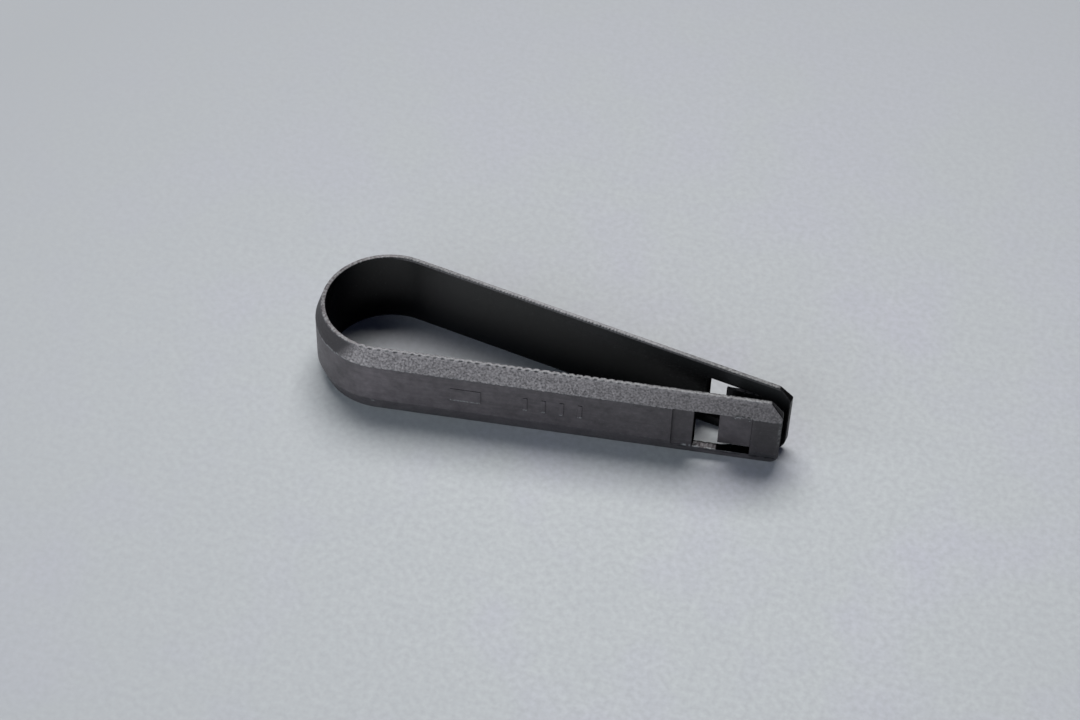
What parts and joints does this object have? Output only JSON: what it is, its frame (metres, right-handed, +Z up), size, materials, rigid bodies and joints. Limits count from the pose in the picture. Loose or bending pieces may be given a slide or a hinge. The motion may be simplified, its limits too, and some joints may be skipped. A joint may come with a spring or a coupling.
{
  "type": "spring clip",
  "caption": "Moulded plastic spring clip with a round bow, converging chamfered arms and a sprung tongue in the window near each tip.",
  "frame": {"origin": "middle of the clip's length and width, on the plane that its lower rims rest on", "axes": "+X from the bow along the arms to the tips, +Y to the far arm, +Z up from the resting plane"},
  "size_m": [0.0745, 0.0224, 0.013],
  "materials": {
    "black_plastic": "satin black moulding with a coarse grain on the chamfers"
  },
  "bodies": {
    "bow": {"bow": "black_plastic"},
    "near_shoulder": {"near_shoulder": "black_plastic"},
    "far_shoulder": {"far_shoulder": "black_plastic"},
    "near_arm": {"near_arm": "black_plastic"},
    "far_arm": {"far_arm": "black_plastic"},
    "near_tongue": {"near_tongue": "black_plastic"},
    "far_tongue": {"far_tongue": "black_plastic"}
  },
  "joints": [
    {"name": "near_bow_flex", "type": "hinge", "parent": "bow", "child": "near_shoulder", "pos_m": [-0.03286, -0.00789, 0.0065], "axis": [0, 0, -1], "range_deg": [-0.47, 5], "stiffness_Nm_per_rad": 0.3},
    {"name": "near_arm_flex", "type": "hinge", "parent": "near_shoulder", "child": "near_arm", "pos_m": [-0.01537, -0.00909, 0.0065], "axis": [0, 0, -1], "range_deg": [-0.57, 6.01], "stiffness_Nm_per_rad": 0.2},
    {"name": "near_tongue_flex", "type": "hinge", "parent": "near_arm", "child": "near_tongue", "pos_m": [0.03262, -0.00201, 0.00617], "axis": [0, 0, 1], "range_deg": [-2, 7], "stiffness_Nm_per_rad": 0.07},
    {"name": "far_bow_flex", "type": "hinge", "parent": "bow", "child": "far_shoulder", "pos_m": [-0.03286, 0.00789, 0.0065], "axis": [0, 0, 1], "range_deg": [-0.47, 5], "stiffness_Nm_per_rad": 0.3},
    {"name": "far_arm_flex", "type": "hinge", "parent": "far_shoulder", "child": "far_arm", "pos_m": [-0.01537, 0.00909, 0.0065], "axis": [0, 0, 1], "range_deg": [-0.57, 6.01], "stiffness_Nm_per_rad": 0.2},
    {"name": "far_tongue_flex", "type": "hinge", "parent": "far_arm", "child": "far_tongue", "pos_m": [0.03262, 0.00201, 0.00617], "axis": [0, 0, -1], "range_deg": [-2, 7], "stiffness_Nm_per_rad": 0.07}
  ],
  "couplings": [
    {"joint": "near_arm_flex", "follows": "near_bow_flex", "ratio": 1.2},
    {"joint": "far_arm_flex", "follows": "far_bow_flex", "ratio": 1.2}
  ]
}
